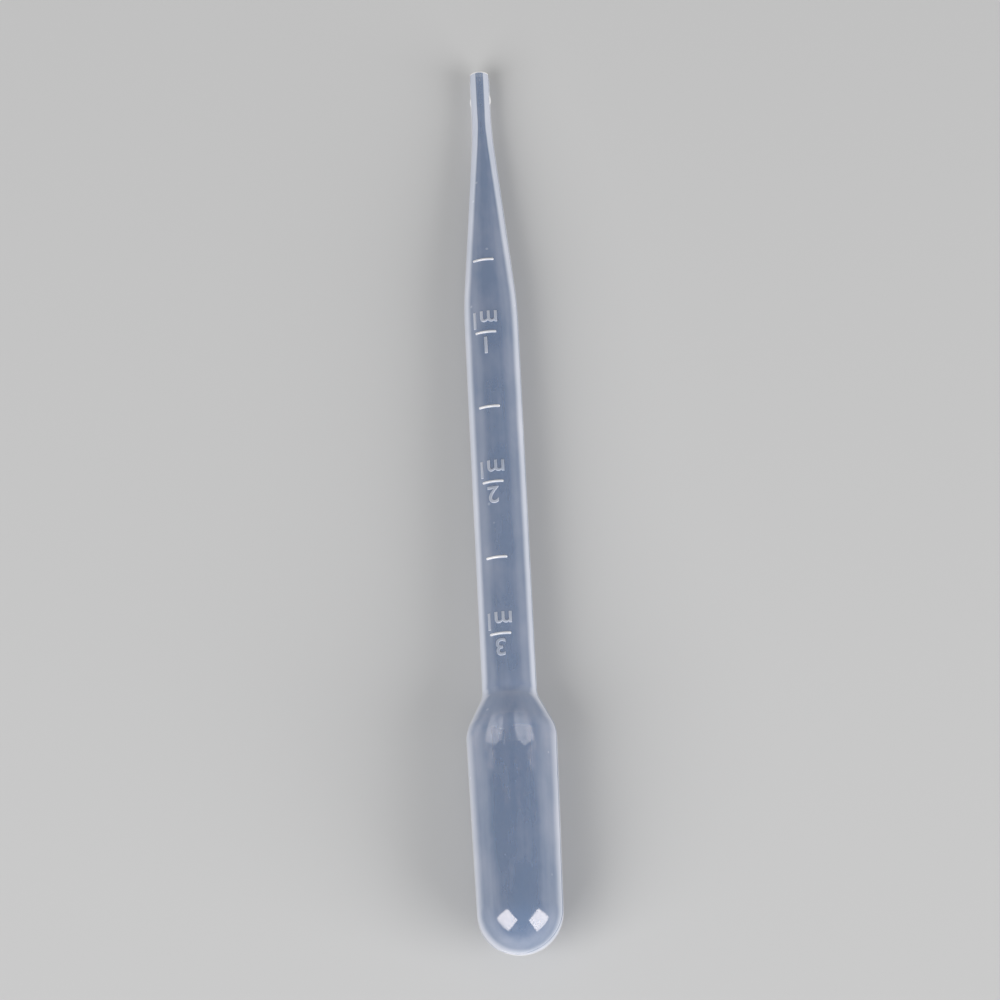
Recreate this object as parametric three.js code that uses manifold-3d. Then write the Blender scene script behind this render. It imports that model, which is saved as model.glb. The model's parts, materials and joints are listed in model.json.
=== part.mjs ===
// A disposable dropper pipette, blown as one piece of low-density polyethylene: an open nozzle, a drawn
// taper, a graduated stem and a squeeze bulb, all one thin wall. Millimetres, +Z up.
// It lies on a flat surface as it comes to rest, its tip towards +Y and its graduations uppermost.
import * as THREE from "three";
import { mergeVertices } from "three/addons/utils/BufferGeometryUtils.js";
import Module from "manifold-3d";

// Lengths along the axis, from the open end of the tip to the bulb's dome.
const nozzleLength = 10.2;
const taperLength = 30.9;
const stemLength = 66.6;
const shoulderLength = 5.8;
const bulbLength = 29.7;

// Outside diameters. The bulb narrows a little towards its dome, which is half a ball.
const nozzleDiameter = 3.0;
const stemDiameter = 8.62;
const bulbDiameter = 14.3;
const domeDiameter = 13.5;

// Wall thickness. The wall is thinnest where the tube was blown out furthest.
const nozzleWall = 0.85;
const stemWall = 0.75;
const bulbWall = 0.45;
const domeWall = 0.55;

// How far along each of its two sides a corner of the outline is eased.
const tipEase = 0.15;
const taperEase = 3.0;
const stemEase = 3.0;
const shoulderEase = 0.8;
const bulbEase = 1.1;

// The graduations: bars raised across the stem, half a millilitre apart, and how far their row is
// turned off the topmost line towards -X.
const markCount = 6;
const firstMark = 34.2; // from the tip
const markPitch = 12.85;
const markLength = 3.5;
const markWidth = 0.45;
const markHeight = 0.2;
const markBevel = 0.08;
const markTurn = THREE.MathUtils.degToRad(13.5);

// The parting line of the two mould halves, a fine rib down both sides, and the flash left on it.
const seamHeight = 0.06;
const seamWidth = 0.24;
const flashPlace = 4.7; // from the tip
const flashLength = 2.1;
const flashHeight = 0.22;
const flashWidth = 0.6;

// Facets. Every ring has a flat facet straight underneath, so the pipette rests without rolling.
const segments = 28;
const easeSteps = 5; // on each eased corner, and twice as many on the dome
const cutOvershoot = 1; // how far a cut runs out past the face it opens

const outside = {
  nozzle: nozzleDiameter / 2,
  stem: stemDiameter / 2,
  bulb: bulbDiameter / 2,
  dome: domeDiameter / 2,
};
const inside = {
  nozzle: outside.nozzle - nozzleWall,
  stem: outside.stem - stemWall,
  bulb: outside.bulb - bulbWall,
  dome: outside.dome - domeWall,
};

// Where each stretch begins on the Y axis: the tip's open end is y = 0 and the bulb lies towards -Y.
const taperStart = -nozzleLength;
const stemStart = taperStart - taperLength;
const shoulderStart = stemStart - stemLength;
const bulbStart = shoulderStart - shoulderLength;
const domeStart = bulbStart - bulbLength;

const wasm = await Module();
wasm.setup();

function toSolid(geometry) {
  const bare = new THREE.BufferGeometry();
  bare.setAttribute("position", geometry.getAttribute("position"));
  bare.setIndex(geometry.index);
  const merged = mergeVertices(bare, 1e-4);
  const vertProperties = merged.attributes.position.array;
  const triVerts = new Uint32Array(merged.index.array);
  return new wasm.Manifold(new wasm.Mesh({ numProp: 3, vertProperties, triVerts }));
}

function toGeometry(solid) {
  const made = solid.getMesh();
  const geometry = new THREE.BufferGeometry();
  geometry.setAttribute("position", new THREE.BufferAttribute(made.vertProperties, 3));
  geometry.setIndex(new THREE.BufferAttribute(made.triVerts, 1));
  return geometry;
}

// Carries a path round a corner by a curve that leaves and meets the two sides short of the corner.
function easeCorner(path, corner, next, ease) {
  const back = path.currentPoint.clone().sub(corner);
  const ahead = next.clone().sub(corner);
  const reach = Math.min(ease, back.length(), ahead.length() / 2);
  const enter = back.setLength(reach).add(corner);
  const leave = ahead.setLength(reach).add(corner);
  path.lineTo(enter.x, enter.y);
  path.quadraticCurveTo(corner.x, corner.y, leave.x, leave.y);
}

// One face of the wall in the half plane, from the crown of the dome to the start of the nozzle.
function wallPath(radius) {
  const path = new THREE.Path();
  path.absarc(0, domeStart, radius.dome, -Math.PI / 2, 0, false);
  const bulbFront = new THREE.Vector2(radius.bulb, bulbStart);
  const stemBack = new THREE.Vector2(radius.stem, shoulderStart);
  const stemFront = new THREE.Vector2(radius.stem, stemStart);
  const nozzleBack = new THREE.Vector2(radius.nozzle, taperStart);
  const nozzleEnd = new THREE.Vector2(radius.nozzle, 0);
  easeCorner(path, bulbFront, stemBack, bulbEase);
  easeCorner(path, stemBack, stemFront, shoulderEase);
  easeCorner(path, stemFront, nozzleBack, stemEase);
  easeCorner(path, nozzleBack, nozzleEnd, taperEase);
  return path;
}

// The outer form, closed across the flat end face of the nozzle.
function outerPoints() {
  const path = wallPath(outside);
  easeCorner(path, new THREE.Vector2(outside.nozzle, 0), new THREE.Vector2(0, 0), tipEase);
  path.lineTo(0, 0);
  return path.getPoints(easeSteps);
}

// The hollow inside, run out past the end face so that the nozzle is open.
function cavityPoints() {
  const path = wallPath(inside);
  path.lineTo(inside.nozzle, cutOvershoot);
  path.lineTo(0, cutOvershoot);
  return path.getPoints(easeSteps);
}

function revolve(points) {
  return toSolid(new THREE.LatheGeometry(points, segments, Math.PI / segments));
}

// What the mould's two halves leave on the wall is turned about the axis with them.
function fromMould(geometry) {
  return toSolid(geometry.rotateY(-markTurn));
}

// The outer radius at a distance from the tip, on the nozzle, the taper or the stem.
function radiusAt(distance) {
  const along = THREE.MathUtils.clamp((distance - nozzleLength) / taperLength, 0, 1);
  return THREE.MathUtils.lerp(outside.nozzle, outside.stem, along);
}

// A graduation: a sector of a ring, rooted half way into the wall, with its upper edges bevelled.
function markBar(distance) {
  const radius = radiusAt(distance);
  const root = radius - stemWall / 2;
  const crest = radius + markHeight - markBevel;
  const halfAngle = markLength / 2 / radius;
  const sector = new THREE.Shape();
  sector.absarc(0, 0, crest, Math.PI / 2 - halfAngle, Math.PI / 2 + halfAngle, false);
  sector.absarc(0, 0, root, Math.PI / 2 + halfAngle, Math.PI / 2 - halfAngle, true);
  const depth = markWidth - 2 * markBevel;
  const bar = new THREE.ExtrudeGeometry(sector, {
    depth,
    curveSegments: 4,
    bevelThickness: markBevel,
    bevelSize: markBevel,
    bevelSegments: 2,
  });
  bar.translate(0, 0, -depth / 2).rotateX(Math.PI / 2).translate(0, -distance, 0);
  return fromMould(bar);
}

// A flat plate through the axis. Its middle goes with the cavity, which leaves its two edges outside.
function plate(shape, thickness) {
  const flat = new THREE.ExtrudeGeometry(shape, { depth: thickness, bevelEnabled: false, curveSegments: 6 });
  return fromMould(flat.translate(0, 0, -thickness / 2));
}

// The rib of the parting line: the whole outline grown by the rib's height.
function seam() {
  const path = wallPath(outside);
  path.lineTo(outside.nozzle, -tipEase);
  const side = path.getPoints(easeSteps);
  const grown = side.map((point, i) => {
    const before = side[Math.max(i - 1, 0)];
    const after = side[Math.min(i + 1, side.length - 1)];
    const along = after.clone().sub(before).setLength(seamHeight);
    return new THREE.Vector2(point.x + along.y, point.y - along.x);
  });
  const otherSide = grown.slice(1).reverse().map((point) => new THREE.Vector2(-point.x, point.y));
  return plate(new THREE.Shape([...grown, ...otherSide]), seamWidth);
}

// Flash squeezed out of the mould on both sides of the nozzle, low and rounded.
function flash() {
  const pads = new THREE.Shape();
  const [front, back] = [-flashPlace + flashLength / 2, -flashPlace - flashLength / 2];
  const bulge = outside.nozzle + 2 * flashHeight;
  pads.moveTo(outside.nozzle, back);
  pads.quadraticCurveTo(bulge, -flashPlace, outside.nozzle, front);
  pads.lineTo(-outside.nozzle, front);
  pads.quadraticCurveTo(-bulge, -flashPlace, -outside.nozzle, back);
  return plate(pads, flashWidth);
}

function blownBody() {
  const marks = Array.from({ length: markCount }, (_, i) => markBar(firstMark + i * markPitch));
  const outer = [seam(), flash(), ...marks].reduce((body, feature) => body.add(feature), revolve(outerPoints()));
  return toGeometry(outer.subtract(revolve(cavityPoints())));
}

// Where the centre of mass lies along the axis: each triangle's pyramid to the origin, weighed.
function balanceOf(geometry) {
  const position = geometry.getAttribute("position");
  const corners = [0, 1, 2].map(() => new THREE.Vector3());
  let volume = 0;
  let moment = 0;
  for (let i = 0; i < geometry.index.count; i += 3) {
    corners.forEach((corner, k) => corner.fromBufferAttribute(position, geometry.index.getX(i + k)));
    const [a, b, c] = corners;
    const pyramid = a.dot(b.clone().cross(c)) / 6;
    volume += pyramid;
    moment += (pyramid * (a.y + b.y + c.y)) / 4;
  }
  return moment / volume;
}

// The tilt at which the pipette lies: it touches the surface with the two rings whose common tangent
// has every other ring above it and the centre of mass between them.
function restTilt(balance) {
  const facetDepth = Math.cos(Math.PI / segments);
  const rings = outerPoints().map((point) => new THREE.Vector2(point.x * facetDepth, point.y));
  for (const front of rings.filter((ring) => ring.y > balance)) {
    for (const back of rings.filter((ring) => ring.y <= balance)) {
      const slope = (back.x - front.x) / (front.y - back.y);
      const clear = (ring) => ring.x + (ring.y - front.y) * slope < front.x + 1e-6;
      if (rings.every(clear)) return Math.atan(slope);
    }
  }
}

const polyethylene = new THREE.MeshStandardMaterial({
  color: 0xc3d0de,
  roughness: 0.32,
  metalness: 0,
  transparent: true,
  opacity: 0.5,
});

const pipette = new THREE.Mesh(blownBody(), polyethylene);
pipette.name = "pipette_body";
pipette.rotation.x = -restTilt(balanceOf(pipette.geometry));

// Stood on the ground, with the middle of its base at the origin.
const box = new THREE.Box3().setFromObject(pipette, true);
const centre = box.getCenter(new THREE.Vector3());
pipette.position.set(-centre.x, -centre.y, -box.min.z);

const group = new THREE.Group();
group.add(pipette);

export default group;
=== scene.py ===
import json
import math

import bpy
from mathutils import Matrix, Vector

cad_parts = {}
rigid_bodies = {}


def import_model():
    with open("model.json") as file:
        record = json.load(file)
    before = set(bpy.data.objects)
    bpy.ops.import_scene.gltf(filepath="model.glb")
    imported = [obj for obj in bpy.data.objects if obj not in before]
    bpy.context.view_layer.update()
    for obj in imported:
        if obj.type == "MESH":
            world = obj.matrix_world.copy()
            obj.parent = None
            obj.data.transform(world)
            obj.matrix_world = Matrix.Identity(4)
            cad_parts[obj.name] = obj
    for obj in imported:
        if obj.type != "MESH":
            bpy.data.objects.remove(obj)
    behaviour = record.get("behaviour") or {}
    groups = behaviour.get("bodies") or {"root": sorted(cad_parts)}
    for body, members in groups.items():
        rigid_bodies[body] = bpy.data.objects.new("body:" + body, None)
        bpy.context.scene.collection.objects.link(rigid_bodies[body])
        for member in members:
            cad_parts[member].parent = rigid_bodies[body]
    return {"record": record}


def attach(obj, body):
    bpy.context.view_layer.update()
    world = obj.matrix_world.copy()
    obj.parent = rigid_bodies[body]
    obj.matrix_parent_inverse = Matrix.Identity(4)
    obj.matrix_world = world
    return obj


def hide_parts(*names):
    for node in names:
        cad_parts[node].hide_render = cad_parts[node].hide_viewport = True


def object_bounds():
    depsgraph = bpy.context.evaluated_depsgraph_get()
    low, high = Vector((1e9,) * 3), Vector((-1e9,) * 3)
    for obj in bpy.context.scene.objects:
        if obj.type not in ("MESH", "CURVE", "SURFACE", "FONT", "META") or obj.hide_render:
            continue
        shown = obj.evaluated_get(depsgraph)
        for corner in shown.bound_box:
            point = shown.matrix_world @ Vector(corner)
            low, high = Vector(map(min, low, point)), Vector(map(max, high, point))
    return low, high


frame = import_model()
solidBox = [list(corner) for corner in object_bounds()]
mm = 0.001
hairsBreadth = 1e-6  # points closer than this, in metres, are in one place

# How the pipette lies, read off the frame: its tip mount gives the axis and the open end.
tipMount = frame["record"]["mounts"][0]
tipDirection = Vector(tipMount["axis"]).normalized()
dip = math.atan2(-tipDirection.z, tipDirection.y)
upFromAxis = Vector((0, math.sin(dip), math.cos(dip)))
lying = {
    "mountRise": 1.0 * mm,  # the mount's point lies this far above the bore's axis
    "markTurn": math.radians(13.5),  # the scale is turned this far off the top, towards -X
}
tipCentre = Vector(tipMount["pos_m"]) - upFromAxis * lying["mountRise"]


def deselectAll():
    if bpy.context.object and bpy.context.object.mode != "OBJECT":
        bpy.ops.object.mode_set(mode="OBJECT")
    bpy.ops.object.select_all(action="DESELECT")


def onlySelect(*things):
    deselectAll()
    for thing in things:
        thing.select_set(True)
    bpy.context.view_layer.objects.active = things[0]


def editAll(thing):
    onlySelect(thing)
    bpy.ops.object.mode_set(mode="EDIT")
    bpy.ops.mesh.select_all(action="SELECT")


def applyPlace(thing):
    onlySelect(thing)
    bpy.ops.object.transform_apply(location=True, rotation=True, scale=True)


def joinAll(things, name):
    onlySelect(*things)
    bpy.ops.object.join()
    bpy.context.object.name = name
    return bpy.context.object


def addBall(sides, rings, radius, **place):
    deselectAll()
    bpy.ops.mesh.primitive_uv_sphere_add(segments=sides, ring_count=rings, radius=radius, **place)
    return bpy.context.object


def selectParts(thing, kind, wanted):
    # leaves edit mode, selects the vertices or edges whose points pass the test, and goes back in
    bpy.ops.object.mode_set(mode="OBJECT")
    mesh = thing.data
    for part in (*mesh.vertices, *mesh.edges, *mesh.polygons):
        part.select = False
    points = [vertex.co for vertex in mesh.vertices]
    for part in getattr(mesh, kind):
        ends = [part.index] if kind == "vertices" else part.vertices
        part.select = wanted([points[i] for i in ends])
    bpy.ops.object.mode_set(mode="EDIT")
    bpy.ops.mesh.select_mode(type="VERT" if kind == "vertices" else "EDGE")


def atLevel(level):
    return lambda ends: all(abs(end.z - level) < hairsBreadth for end in ends)


def roundEdges(reach, steps):
    bpy.ops.mesh.bevel(offset=reach, segments=steps, profile=0.5, affect="EDGES")


cutting = {
    "leave": 1.5,  # times the spacing: an edge shorter than this stays whole
    "alike": 0.999,  # of the longest edge: edges above this are cut along with it
}


def cutLongEdges(thing, axis, spacing):
    # cuts what is long along an axis into short lengths, the longest first
    def lengthOf(ends):
        return abs(ends[0][axis] - ends[1][axis])

    while True:
        bpy.ops.object.mode_set(mode="OBJECT")
        points = [vertex.co for vertex in thing.data.vertices]
        longest = max(lengthOf([points[i] for i in edge.vertices]) for edge in thing.data.edges)
        if longest < cutting["leave"] * spacing:
            return
        selectParts(thing, "edges", lambda ends: lengthOf(ends) > longest * cutting["alike"])
        bpy.ops.mesh.subdivide(number_cuts=max(1, round(longest / spacing) - 1))


def uniteWith(body, tool):
    onlySelect(body)
    union = body.modifiers.new("union", "BOOLEAN")
    union.operation = "UNION"
    union.solver = "EXACT"
    union.object = tool
    bpy.ops.object.modifier_apply(modifier=union.name)
    onlySelect(tool)
    bpy.ops.object.delete()


# The wall. The pipette is modelled upright, open end up at the origin, with its scale facing -Y.
wall = {
    "around": 96,
    "ballRings": 48,  # of the ball whose lower half is the dome
    "ringSpacing": 1.0 * mm,
    "lengths": {  # in order, from the tip down
        "nozzle": 10.2 * mm,
        "taper": 30.9 * mm,
        "stem": 66.6 * mm,
        "shoulder": 5.8 * mm,
        "bulb": 29.7 * mm,
    },
    "outside": {  # radii
        "nozzle": 1.5 * mm,
        "stem": 4.31 * mm,
        "bulb": 7.15 * mm,
        "dome": 6.75 * mm,
    },
    "thickness": {
        "nozzle": 0.85 * mm,
        "stem": 0.75 * mm,
        "bulb": 0.45 * mm,
        "dome": 0.55 * mm,
    },
    "ease": {  # how far along each of its two sides a corner is rounded
        "taper": 3.0 * mm,
        "stem": 3.0 * mm,
        "shoulder": 0.8 * mm,
        "bulb": 1.1 * mm,
        "tip": 0.15 * mm,
    },
    "easeSteps": 8,
    "tipEaseSteps": 3,
    "endDepth": 0.3 * mm,  # a ring is cut here, so that the painted glow of the cut end stops short
    "slopeShare": 3,  # its slope is read over a third of the shoulder's length, up and down
    "smoothAngle": math.radians(35),  # sharper edges stay sharp
}
outsideRadius = wall["outside"]
insideRadius = {part: outsideRadius[part] - wall["thickness"][part] for part in outsideRadius}

# The levels of the rings between the stretches, and then each ring with the radius it takes,
# from the dome's rim up to the tip.
height = {"tip": 0.0}
level = 0.0
for length, ring in zip(wall["lengths"].values(), ("taper", "stem", "shoulder", "bulb", "dome")):
    level -= length
    height[ring] = level
rings = [
    ("dome", "dome"),
    ("bulb", "bulb"),
    ("shoulder", "stem"),
    ("stem", "stem"),
    ("taper", "nozzle"),
    ("tip", "nozzle"),
]


def radiusAt(radius, level):
    # straight from ring to ring, as before the corners are rounded
    for (lowLevel, lowPart), (highLevel, highPart) in zip(rings, rings[1:]):
        low, high = height[lowLevel], height[highLevel]
        if level <= high:
            share = max(0.0, (level - low) / (high - low))
            return radius[lowPart] + (radius[highPart] - radius[lowPart]) * share
    return radius["nozzle"]


def growWall(name, radius):
    # half a ball, whose rim is pulled up through the bulb, shoulder, stem and taper to the open end
    shell = addBall(
        wall["around"], wall["ballRings"], radius["dome"], location=(0, 0, height["dome"])
    )
    shell.name = name
    applyPlace(shell)
    selectParts(shell, "vertices", lambda ends: ends[0].z > height["dome"] + hairsBreadth)
    bpy.ops.mesh.delete(type="VERT")
    selectParts(shell, "vertices", atLevel(height["dome"]))
    for (lastLevel, lastPart), (level, part) in zip(rings, rings[1:]):
        rise = height[level] - height[lastLevel]
        bpy.ops.mesh.extrude_region_move(TRANSFORM_OT_translate={"value": (0, 0, rise)})
        spread = radius[part] / radius[lastPart]
        bpy.ops.transform.resize(value=(spread, spread, 1), center_override=(0, 0, 0))
    for corner in ("bulb", "shoulder", "stem", "taper"):
        selectParts(shell, "edges", atLevel(height[corner]))
        roundEdges(wall["ease"][corner], wall["easeSteps"])
    cutLongEdges(shell, 2, wall["ringSpacing"])
    return shell


outer = growWall("outerWall", outsideRadius)
inner = growWall("innerWall", insideRadius)
print("walls grown:", len(outer.data.vertices) + len(inner.data.vertices), "points")

# The parting line of the two mould halves, a fine rib down both sides and over the dome.
seam = {
    "radius": 0.1 * mm,
    "roundness": 2,
    "start": 1.0 * mm,  # from the tip
}


def onSeam(ends):
    return all(abs(end.y) < hairsBreadth and end.z < -seam["start"] for end in ends)


onlySelect(outer)
selectParts(outer, "edges", onSeam)
bpy.ops.mesh.duplicate()
bpy.ops.mesh.separate(type="SELECTED")
seamLine = next(thing for thing in bpy.data.objects if thing.name.startswith("outerWall."))
onlySelect(seamLine)
bpy.ops.object.convert(target="CURVE")
seamLine = bpy.context.object
seamLine.data.bevel_depth = seam["radius"]
seamLine.data.bevel_resolution = seam["roundness"]
seamLine.data.use_fill_caps = True
bpy.ops.object.convert(target="MESH")
seamLine = bpy.context.object
print("seam:", len(seamLine.data.vertices), "points")

# The scale moulded on the stem: a line each half millilitre, a number and the unit at each
# whole one.
scale = {
    "lines": 6,
    "first": 34.2 * mm,  # from the tip
    "pitch": 12.85 * mm,
    "length": 3.5 * mm,
    "width": 0.45 * mm,
    "height": 0.2 * mm,
    "around": 16,
    "ballRings": 12,  # of the ball that each line is made from
    "cutPitch": 0.3 * mm,  # lines and letters are cut this fine to be wrapped round the stem
}
letters = {  # in millimetres, as they are drawn
    "size": 4.0,
    "spacing": 1.17,  # how far apart they stand, against the usual
    "unitGap": 0.6,  # from the line's edge
    "numberGap": 0.65,
    "lift": 0.02,  # of their middle, off the stem
    "depth": 0.16,  # from their middle to their face
    "soften": 0.05,
    "softenSteps": 1,
    "curveSteps": 5,
}


def spanAcross(thing):
    across = [vertex.co.x for vertex in thing.data.vertices]
    return min(across), max(across)


def wrapRound(thing, distance):
    # bends what lies flat in front of the axis to the wall's radius, and sets it there
    onlySelect(thing)
    radius = radiusAt(outsideRadius, -distance)
    low, high = spanAcross(thing)
    bend = thing.modifiers.new("bend", "SIMPLE_DEFORM")
    bend.deform_method = "BEND"
    bend.deform_axis = "Z"
    bend.angle = (high - low) / radius
    bpy.ops.object.modifier_apply(modifier=bend.name)
    thing.location = (0, -radius, -distance)
    applyPlace(thing)


def makeLine(distance):
    # a ball, sunk to its height and pulled out into a bead
    end = scale["width"] / 2
    reach = scale["length"] / 2 - end
    sunk = end - scale["height"]
    bead = addBall(scale["around"], scale["ballRings"], end, rotation=(0, math.pi / 2, 0))
    applyPlace(bead)
    for side in (-1, 1):
        selectParts(bead, "vertices", lambda ends: ends[0].x * side > hairsBreadth)
        bpy.ops.transform.translate(value=(side * reach, sunk, 0))
    selectParts(bead, "vertices", lambda ends: abs(ends[0].x) < hairsBreadth)
    bpy.ops.transform.translate(value=(0, sunk, 0))
    cutLongEdges(bead, 0, scale["cutPitch"])
    wrapRound(bead, distance)
    return bead


def makeWord(body, distance, rise):
    # raised letters, read with the tip downwards, on the line's tip side where rise is positive
    deselectAll()
    bpy.ops.object.text_add()
    word = bpy.context.object
    word.data.body = body
    word.data.size = letters["size"]
    word.data.align_x = "CENTER"
    word.data.space_character = letters["spacing"]
    word.data.extrude = letters["depth"] - letters["soften"]
    word.data.bevel_depth = letters["soften"]
    word.data.bevel_resolution = letters["softenSteps"]
    word.data.offset = -letters["soften"] / 2
    word.data.resolution_u = letters["curveSteps"]
    bpy.ops.object.convert(target="MESH")
    word = bpy.context.object
    levels = [vertex.co.y for vertex in word.data.vertices]
    foot = -max(levels) - rise if rise > 0 else -rise - min(levels)
    word.location = (0, foot, letters["lift"])
    applyPlace(word)
    # brought from millimetres to metres, and stood on its head facing -Y
    word.matrix_world = Matrix(((-mm, 0, 0, 0), (0, 0, -mm, 0), (0, -mm, 0, 0), (0, 0, 0, 1)))
    applyPlace(word)
    low, high = spanAcross(word)
    cuts = math.ceil((high - low) / scale["cutPitch"])
    editAll(word)
    bpy.ops.mesh.remove_doubles(threshold=hairsBreadth)
    for i in range(1, cuts):
        bpy.ops.mesh.select_all(action="SELECT")
        place = low + (high - low) * i / cuts
        bpy.ops.mesh.bisect(plane_co=(place, 0, 0), plane_no=(1, 0, 0))
    bpy.ops.mesh.select_all(action="SELECT")
    bpy.ops.mesh.quads_convert_to_tris()
    bpy.ops.mesh.normals_make_consistent(inside=False)
    bpy.ops.object.mode_set(mode="OBJECT")
    wrapRound(word, distance)
    return word


marks = [seamLine]
halfLine = scale["width"] / 2 / mm
for i in range(scale["lines"]):
    distance = scale["first"] + scale["pitch"] * i
    marks.append(makeLine(distance))
    if i % 2:
        marks.append(makeWord("ml", distance, halfLine + letters["unitGap"]))
        marks.append(makeWord(str((i + 1) // 2), distance, -halfLine - letters["numberGap"]))
marks = joinAll(marks, "marks")
print("marks:", len(marks.data.vertices), "points")

# Flash left on the nozzle's parting line, a small pad on either side.
flash = {
    "place": 4.7 * mm,  # from the tip
    "length": 2.1 * mm,
    "width": 0.7 * mm,
    "height": 0.22 * mm,
    "sunk": 0.2 * mm,  # how far a pad's middle lies inside the wall
    "around": 24,
    "ballRings": 16,
}
pads = []
for side in (-1, 1):
    centre = (side * (outsideRadius["nozzle"] - flash["sunk"]), 0, -flash["place"])
    pad = addBall(flash["around"], flash["ballRings"], 1.0, location=centre)
    pad.scale = (flash["height"] + flash["sunk"], flash["width"] / 2, flash["length"] / 2)
    applyPlace(pad)
    pads.append(pad)
pads = joinAll(pads, "pads")
print("pads:", len(pads.data.vertices), "points")

# Both faces of the wall, closed across the open end, with what the mould left on them.
editAll(inner)
bpy.ops.mesh.flip_normals()
bpy.ops.object.mode_set(mode="OBJECT")
outer.data.materials.append(bpy.data.materials.new("mouldedSkin"))
inner.data.materials.append(bpy.data.materials.new("blownSkin"))
pipette = joinAll([outer, inner], "pipette")
tipLevel = atLevel(height["tip"])


def onOuterRim(ends):
    radius = outsideRadius["nozzle"]
    return tipLevel(ends) and all(abs(end.xy.length - radius) < hairsBreadth for end in ends)


selectParts(pipette, "edges", tipLevel)
bpy.ops.mesh.bridge_edge_loops()
bpy.context.object.active_material_index = 0
bpy.ops.object.material_slot_assign()
selectParts(pipette, "edges", onOuterRim)
roundEdges(wall["ease"]["tip"], wall["tipEaseSteps"])
bpy.ops.mesh.select_all(action="SELECT")
bpy.ops.mesh.bisect(plane_co=(0, 0, -wall["endDepth"]), plane_no=(0, 0, 1))
bpy.ops.object.mode_set(mode="OBJECT")
uniteWith(pipette, marks)
uniteWith(pipette, pads)
print("pipette:", len(pipette.data.polygons), "faces,", len(pipette.data.materials), "materials")

# What the plastic's looks go by at each place: how steeply the wall widens, how much of its
# radius the bore takes, and how much whiter than the wall it is: thicker milk on the parting
# line with its flash, thicker milk and a painted highlight on the moulded scale, and a painted
# glow on the cut end, which lies in shade.
milkAndPaintedHighlight = {
    "high": 0.2 * mm,  # what counts as fully raised
    "end": 1.25,  # how much whiter each is, in shares of milky's veil for these places; the cut end's share, above 1, is a painted glow
    "seam": 0.3,
    "flash": 0.8,
    # the scale's lines and letters: thicker milk, partly a painted highlight
    "line": 0.85,
    "letter": 0.42,
    "endReach": 1.1,  # times the tip's ease
    "seamReach": 1.05,  # times its radius
    "flashGain": 4,  # how soon the flash whitens as it rises, and the scale
    "scaleGain": 1.5,
    "scaleHalfAngle": math.radians(40),  # where the scale is, round the wall and along it
    "scaleFrom": -104 * mm,
    "scaleTo": -31 * mm,
}


def milkAndPaintedHighlightAt(point):
    # the cut end: more than full whiteness, a painted glow for a face that lies in shade
    if point.z > -milkAndPaintedHighlight["endReach"] * wall["ease"]["tip"]:
        return milkAndPaintedHighlight["end"]
    rise = (point.xy.length - radiusAt(outsideRadius, point.z)) / milkAndPaintedHighlight["high"]
    if abs(point.z + flash["place"]) < flash["length"] / 2:
        return milkAndPaintedHighlight["flash"] * min(1.0, max(0.0, milkAndPaintedHighlight["flashGain"] * rise))
    if abs(point.y) < milkAndPaintedHighlight["seamReach"] * seam["radius"] and point.z < -seam["start"]:
        return milkAndPaintedHighlight["seam"]
    turned = abs(math.atan2(point.x, -point.y))
    if turned > milkAndPaintedHighlight["scaleHalfAngle"] or not milkAndPaintedHighlight["scaleFrom"] < point.z < milkAndPaintedHighlight["scaleTo"]:
        return 0.0
    pitch = scale["pitch"]
    fromLine = abs((point.z + scale["first"] + pitch / 2) % pitch - pitch / 2)
    share = milkAndPaintedHighlight["line"] if fromLine < scale["width"] else milkAndPaintedHighlight["letter"]
    return share * min(1.0, max(0.0, milkAndPaintedHighlight["scaleGain"] * rise))


def slopeAt(level):
    # positive where the wall widens towards the bulb, and smoothed over the rounded corners
    reach = wall["lengths"]["shoulder"] / wall["slopeShare"]
    below = radiusAt(outsideRadius, level - reach)
    above = radiusAt(outsideRadius, level + reach)
    return (below - above) / (2 * reach)


def boreAt(level):
    return radiusAt(insideRadius, level) / radiusAt(outsideRadius, level)


points = [vertex.co for vertex in pipette.data.vertices]
for name, values in (
    ("slope", [slopeAt(point.z) for point in points]),
    ("bore", [boreAt(point.z) for point in points]),
    ("milkAndPaintedHighlight", [milkAndPaintedHighlightAt(point) for point in points]),
):
    attribute = pipette.data.attributes.new(name, "FLOAT", "POINT")
    attribute.data.foreach_set("value", values)

pipette.matrix_world = (
    Matrix.Translation(tipCentre)
    @ Matrix.Rotation(-math.pi / 2 - dip, 4, "X")
    @ Matrix.Rotation(-lying["markTurn"], 4, "Z")
)
applyPlace(pipette)
bpy.ops.object.shade_smooth_by_angle(angle=wall["smoothAngle"])
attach(pipette, "root")
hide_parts("pipette_body")
print("pipette laid down")


class Wire:
    # one socket's value on a sheet: sums on wires add its Math nodes
    def __init__(self, sheet, socket):
        self.sheet = sheet
        self.socket = socket

    def math(self, operation, *values):
        return self.sheet.node("ShaderNodeMath", {"operation": operation}, dict(enumerate(values)))

    def __add__(self, other):
        return self.math("ADD", self, other)

    def __radd__(self, other):
        return self.math("ADD", other, self)

    def __sub__(self, other):
        return self.math("SUBTRACT", self, other)

    def __rsub__(self, other):
        return self.math("SUBTRACT", other, self)

    def __mul__(self, other):
        return self.math("MULTIPLY", self, other)

    def __rmul__(self, other):
        return self.math("MULTIPLY", other, self)

    def __truediv__(self, other):
        return self.math("DIVIDE", self, other)

    def __rtruediv__(self, other):
        return self.math("DIVIDE", other, self)

    def __pow__(self, other):
        return self.math("POWER", self, other)

    def __rpow__(self, other):
        return self.math("POWER", other, self)

    def atLeast(self, other):
        return self.math("MAXIMUM", self, other)

    def atMost(self, other):
        return self.math("MINIMUM", self, other)


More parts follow.
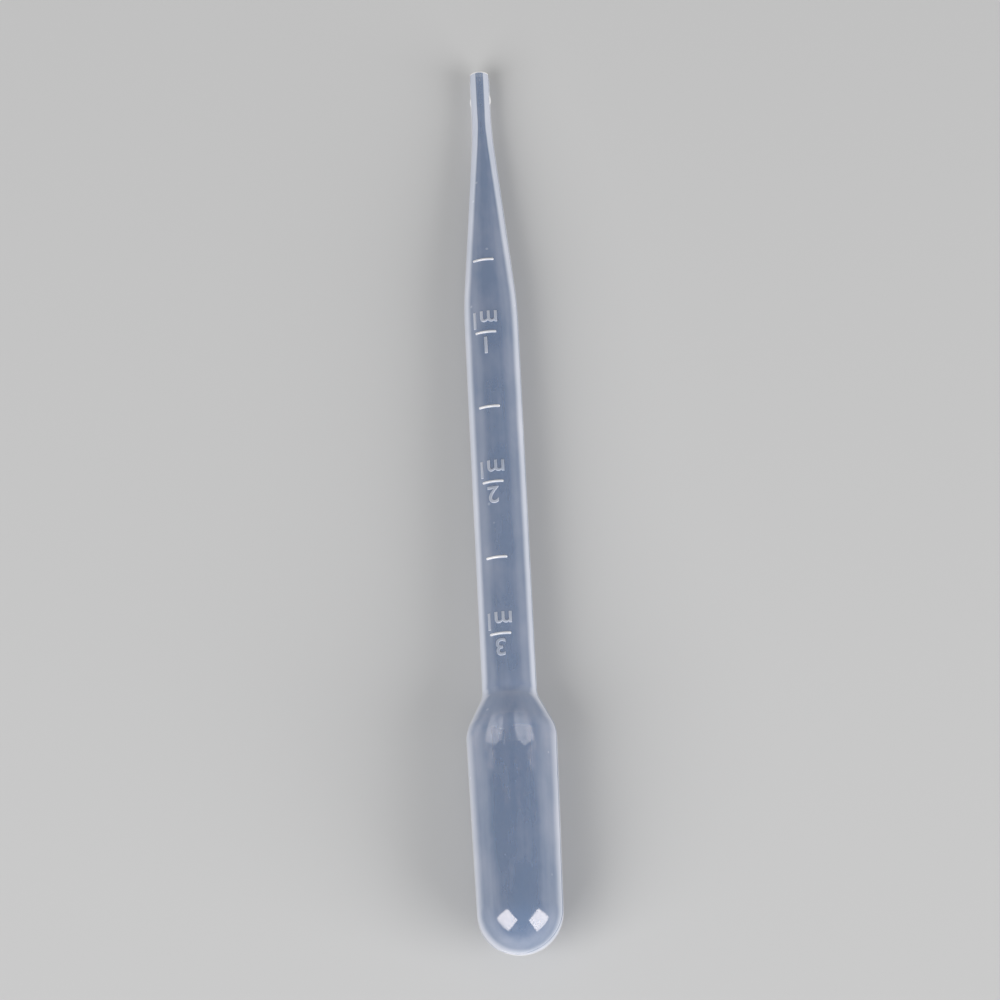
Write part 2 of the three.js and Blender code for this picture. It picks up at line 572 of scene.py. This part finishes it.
class Sheet:
    # the node tree of a material or a world, emptied and ready to be drawn on
    def __init__(self, owner):
        owner.use_nodes = True
        self.tree = owner.node_tree
        self.tree.nodes.clear()

    def node(self, kind, settings=None, inputs=None, output=0):
        made = self.tree.nodes.new(kind)
        for name, value in (settings or {}).items():
            setattr(made, name, value)
        for name, value in (inputs or {}).items():
            if isinstance(value, Wire):
                self.tree.links.new(value.socket, made.inputs[name])
            else:
                made.inputs[name].default_value = value
        return Wire(self, made.outputs[output]) if made.outputs else None


def readAttribute(sheet, name):
    return sheet.node("ShaderNodeAttribute", {"attribute_name": name}, output="Fac")


def mixColours(sheet, share, first, second):
    # sockets 6, 7 and 2 are the ones for colours
    return sheet.node("ShaderNodeMix", {"data_type": "RGBA"}, {0: share, 6: first, 7: second}, 2)


def mixShaders(sheet, share, first, second):
    return sheet.node("ShaderNodeMixShader", inputs={0: share, 1: first, 2: second})


def smoothRise(sheet, value, start, end):
    return sheet.node(
        "ShaderNodeMapRange",
        {"interpolation_type": "SMOOTHSTEP"},
        {"Value": value, "From Min": start, "From Max": end},
    )


# Milky polyethylene. The moulded face lays a thin blue haze over what lies behind it, whitens in
# a band along its sides where a look runs inside the wall and misses the bore, and mirrors a
# little of the room. The blown face inside is clear and only mirrors.
milky = {
    "hazeColour": (0.20, 0.44, 0.84, 1),
    "hazeTone": (0.30, 0.46, 0.82, 1),  # in its more lavender patches
    "haze": 0.28,
    "slopeHaze": 0.22,  # the more so on the shoulder
    "clearColour": (0.48, 0.495, 0.51, 1),  # what the moulded face lets through unveiled
    "milkColour": (0.78, 0.84, 0.95, 1),
    "milkTone": (0.83, 0.85, 0.95, 1),  # in the same patches
    "roughness": 0.35,
    "ior": 1.5,
    "specular": 0.0,  # the gloss is a layer of its own
    "sheen": 1.0,
    "sheenRoughness": 0.3,
    "veil": 0.015,  # how white the plastic is straight on
    "sideVeil": 0.19,  # how much whiter along its sides
    "sideFrom": 0.30,  # where that begins and is full, as shares of the bore's radius
    "sideTo": 0.75,
    "bandVeil": 0.68,  # how white the band is
    "bandFrom": 0.85,  # where it begins and is full, as the same shares
    "bandTo": 1.09,
    "slant": 1.10,  # makes up for a look that isn't square to the pipette
    "slopeSlant": 0.2,  # and for the wall's own slope
    "milkAndHighlightVeil": 0.75,  # how much whiter a place is for a share of 1: thicker milk, with a painted highlight on the scale and a painted glow at the cut end
    # their whiter colour, partly a painted highlight and glow
    "milkAndHighlightTone": (0.98, 0.97, 0.96, 1),
    "glossTone": (1.0, 0.90, 0.84, 1),  # warms the lamps' reflections
    "outerGloss": 0.1,  # how much the moulded face mirrors, seen straight on
    "outerGlossRoughness": 0.08,
    "innerGloss": 0.28,  # the blown face inside is smoother
    "innerGlossRoughness": 0.06,
    "slopeGloss": 0.85,  # and mirrors the more on the shoulder
    "edgeGloss": 0.5,  # how much of the rest either mirrors at its very edge
    "edgePower": 5,
    "shine": 0.7,  # the patches scale roughness and veil from this
    "shineSwing": 0.6,  # up by this
    "patchPitch": 5 * mm,
    "patchStretch": 0.5,  # less than 1 draws a pattern out along the axis
    "patchDetail": 3.0,
    "patchVeil": 0.3,
    "streakPitch": 0.9 * mm,
    "streakStretch": 0.03,
    "streakDetail": 2.0,
    "streakVeil": 0.08,
    "speckPitch": 3.5 * mm,
    "speckRadius": 0.045,  # of the pitch
    "speckEdge": 0.09,  # where a speck has faded out, of the pitch too
    "speckVeil": 0.16,
    "rippleHeight": 0.003 * mm,
    "ripplePitch": 1.3 * mm,
    "rippleStretch": 0.25,
    "rippleDetail": 2.0,
}


def plasticPlace(sheet, pitch, stretch):
    # object coordinates turned with the pipette, so a pattern can be drawn out along it
    place = sheet.node("ShaderNodeTexCoord", output="Object")
    turned = sheet.node(
        "ShaderNodeVectorRotate", {"rotation_type": "X_AXIS"}, {"Vector": place, "Angle": dip}
    )
    spread = (1 / pitch, stretch / pitch, 1 / pitch)
    return sheet.node("ShaderNodeMapping", inputs={"Vector": turned, "Scale": spread})


def noiseOn(sheet, pitch, stretch, detail):
    place = plasticPlace(sheet, pitch, stretch)
    return sheet.node("ShaderNodeTexNoise", inputs={
        "Vector": place, "Scale": 1.0, "Detail": detail,
    })


def specksOn(sheet):
    place = plasticPlace(sheet, milky["speckPitch"], 1.0)
    away = sheet.node("ShaderNodeTexVoronoi", inputs={"Vector": place, "Scale": 1.0})
    return 1 - smoothRise(sheet, away, milky["speckRadius"], milky["speckEdge"])


def veilOn(sheet, facing, patches, shine):
    # how white the moulded face looks: by how far off the bore's middle a look passes, by its
    # thicker milk and painted highlight and glow where marked, and by its patches, streaks and
    # specks
    slope = readAttribute(sheet, "slope")
    bore = readAttribute(sheet, "bore")
    cosine = (1 - facing) * milky["slant"] * (1 + slope * slope) ** 0.5
    cosine = (cosine + slope * milky["slopeSlant"]).atMost(1.0)
    offBore = (1 - cosine * cosine) ** 0.5 / bore
    band = smoothRise(sheet, offBore, milky["bandFrom"], milky["bandTo"])
    side = smoothRise(sheet, offBore, milky["sideFrom"], milky["sideTo"]) * bore * bore
    streaks = noiseOn(sheet, milky["streakPitch"], milky["streakStretch"], milky["streakDetail"])
    veil = milky["veil"] + milky["milkAndHighlightVeil"] * readAttribute(sheet, "milkAndPaintedHighlight")
    veil = veil * shine + milky["sideVeil"] * side + milky["bandVeil"] * band
    veil = veil + milky["patchVeil"] * (patches - 0.5) + milky["streakVeil"] * (streaks - 0.5)
    veil = veil + milky["speckVeil"] * specksOn(sheet)
    return veil.atLeast(0.0).atMost(1.0)


def milkySkin(sheet, facing, patches, shine):
    # clear plastic under its haze, and the milk over both
    body = {
        "Roughness": milky["roughness"],
        "IOR": milky["ior"],
        "Specular IOR Level": milky["specular"],
    }
    clear = sheet.node("ShaderNodeBsdfTransparent", inputs={"Color": milky["clearColour"]})
    hazeColour = mixColours(sheet, patches, milky["hazeColour"], milky["hazeTone"])
    haze = sheet.node("ShaderNodeBsdfPrincipled", inputs={**body, "Base Color": hazeColour})
    # whiter colour where marked: thicker milk, partly a painted highlight and the cut end's painted
    # glow
    milkAndHighlight = readAttribute(sheet, "milkAndPaintedHighlight").atMost(1.0)
    milkColour = mixColours(sheet, patches, milky["milkColour"], milky["milkTone"])
    milk = sheet.node("ShaderNodeBsdfPrincipled", inputs={
        **body,
        "Base Color": mixColours(sheet, milkAndHighlight, milkColour, milky["milkAndHighlightTone"]),
        "Sheen Weight": milky["sheen"],
        "Sheen Roughness": milky["sheenRoughness"],
    })
    share = milky["haze"] + milky["slopeHaze"] * readAttribute(sheet, "slope")
    veil = veilOn(sheet, facing, patches, shine)
    return mixShaders(sheet, veil, mixShaders(sheet, share, clear, haze), milk)


def makeSkin(material, inside):
    sheet = Sheet(material)
    facing = sheet.node("ShaderNodeLayerWeight", inputs={"Blend": 0.5}, output="Facing")
    patches = noiseOn(sheet, milky["patchPitch"], milky["patchStretch"], milky["patchDetail"])
    shine = milky["shine"] + milky["shineSwing"] * patches
    if inside:
        under = sheet.node("ShaderNodeBsdfTransparent")
        gloss = milky["innerGloss"] + milky["slopeGloss"] * readAttribute(sheet, "slope")
        roughness = milky["innerGlossRoughness"]
    else:
        under = milkySkin(sheet, facing, patches, shine)
        gloss = milky["outerGloss"]
        roughness = milky["outerGlossRoughness"]
    ripple = noiseOn(sheet, milky["ripplePitch"], milky["rippleStretch"], milky["rippleDetail"])
    normal = sheet.node("ShaderNodeBump", inputs={
        "Strength": 1.0, "Distance": milky["rippleHeight"], "Height": ripple,
    })
    mirror = sheet.node("ShaderNodeBsdfGlossy", inputs={
        "Color": milky["glossTone"], "Roughness": roughness * shine, "Normal": normal,
    })
    share = gloss + (1 - gloss) * milky["edgeGloss"] * facing ** milky["edgePower"]
    surface = mixShaders(sheet, share, under, mirror)
    sheet.node("ShaderNodeOutputMaterial", inputs={"Surface": surface})


makeSkin(pipette.data.materials[0], inside=False)
makeSkin(pipette.data.materials[1], inside=True)
print("materials:", [material.name for material in pipette.data.materials])

# The studio: a pale round floor that fades into the pale world, and two square soft lamps on the
# bulb's side.
studio = {
    "floorRadius": 1.2,
    "floorSides": 96,
    "floorColour": (0.58, 0.58, 0.58, 1),
    "floorRoughness": 0.9,
    "floorSpecular": 0.1,
    "fadeFrom": 0.35,  # how far out the floor begins to fade, and where it is gone
    "fadeTo": 1.1,
    "background": (0.58, 0.58, 0.58, 1),
    "ambientColour": (1, 1, 1, 1),
    "ambient": 0.3,
    "lampSide": 1.13,
    "lampDistance": 1.5,
    "leftLamp": (-0.585, -0.536, 0.608),  # the way to it
    "leftTurn": math.radians(-7),
    "leftRadiance": 4.2,
    "rightLamp": (0.741, -0.526, 0.417),
    "rightTurn": math.radians(-3),
    "rightRadiance": 4.4,
}

ground = min(0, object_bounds()[0][2])
deselectAll()
bpy.ops.mesh.primitive_circle_add(
    vertices=studio["floorSides"],
    radius=studio["floorRadius"],
    fill_type="TRIFAN",
    location=(0, 0, ground),
)
floor = bpy.context.object
floor.name = "floor"
applyPlace(floor)
paleFloor = bpy.data.materials.new("paleFloor")
floor.data.materials.append(paleFloor)
sheet = Sheet(paleFloor)
place = sheet.node("ShaderNodeTexCoord", output="Object")
away = sheet.node("ShaderNodeVectorMath", {"operation": "LENGTH"}, {0: place}, output="Value")
fade = smoothRise(sheet, away, studio["fadeFrom"], studio["fadeTo"])
matte = sheet.node("ShaderNodeBsdfPrincipled", inputs={
    "Base Color": studio["floorColour"],
    "Roughness": studio["floorRoughness"],
    "Specular IOR Level": studio["floorSpecular"],
})
surface = mixShaders(sheet, fade, matte, sheet.node("ShaderNodeBsdfTransparent"))
sheet.node("ShaderNodeOutputMaterial", inputs={"Surface": surface})

# The world lights the pipette a little, and is the pale background wherever it is seen.
world = bpy.data.worlds.new("studio")
bpy.context.scene.world = world
sheet = Sheet(world)
seen = sheet.node("ShaderNodeLightPath", output="Is Camera Ray")
for kind in ("Is Glossy Ray", "Is Transmission Ray"):
    seen = seen.atLeast(sheet.node("ShaderNodeLightPath", output=kind))
ambient = sheet.node("ShaderNodeBackground", inputs={
    "Color": studio["ambientColour"], "Strength": studio["ambient"],
})
shown = sheet.node("ShaderNodeBackground", inputs={
    "Color": studio["background"], "Strength": 1.0,
})
surface = mixShaders(sheet, seen, ambient, shown)
sheet.node("ShaderNodeOutputWorld", inputs={"Surface": surface})

middle = (Vector(solidBox[0]) + Vector(solidBox[1])) / 2
for side in ("left", "right"):
    direction = Vector(studio[side + "Lamp"]).normalized()
    deselectAll()
    bpy.ops.object.light_add(type="AREA")
    lamp = bpy.context.object
    lamp.name = side + "Softbox"
    lamp.data.shape = "SQUARE"
    lamp.data.size = studio["lampSide"]
    lamp.data.energy = studio[side + "Radiance"] * math.pi * studio["lampSide"] ** 2
    lamp.matrix_world = (
        Matrix.Translation(middle + direction * studio["lampDistance"])
        @ direction.to_track_quat("Z", "Y").to_matrix().to_4x4()
        @ Matrix.Rotation(studio[side + "Turn"], 4, "Z")
    )
print("studio lit")

# The camera looks down on the pipette from the bulb's side, a little rolled.
view = {
    "slant": math.radians(-22),
    "lean": math.radians(2.82),
    "distance": 1.2,
    "frameHeight": 0.158,  # what the frame takes in at that distance
    "sensor": 36,  # millimetres
}
towards = upFromAxis * math.cos(view["slant"]) + tipDirection * math.sin(view["slant"])
upImage = tipDirection * math.cos(view["slant"]) - upFromAxis * math.sin(view["slant"])
right = upImage.cross(towards)
up = upImage * math.cos(view["lean"]) + right * math.sin(view["lean"])
right = up.cross(towards)
deselectAll()
bpy.ops.object.camera_add()
camera = bpy.context.object
camera.matrix_world = Matrix((right, up, towards)).transposed().to_4x4()
camera.location = middle + towards * view["distance"]
camera.data.sensor_width = view["sensor"]
camera.data.lens = view["sensor"] * view["distance"] / view["frameHeight"]
bpy.context.scene.camera = camera
bpy.context.scene.view_settings.view_transform = "Standard"
print("camera set")
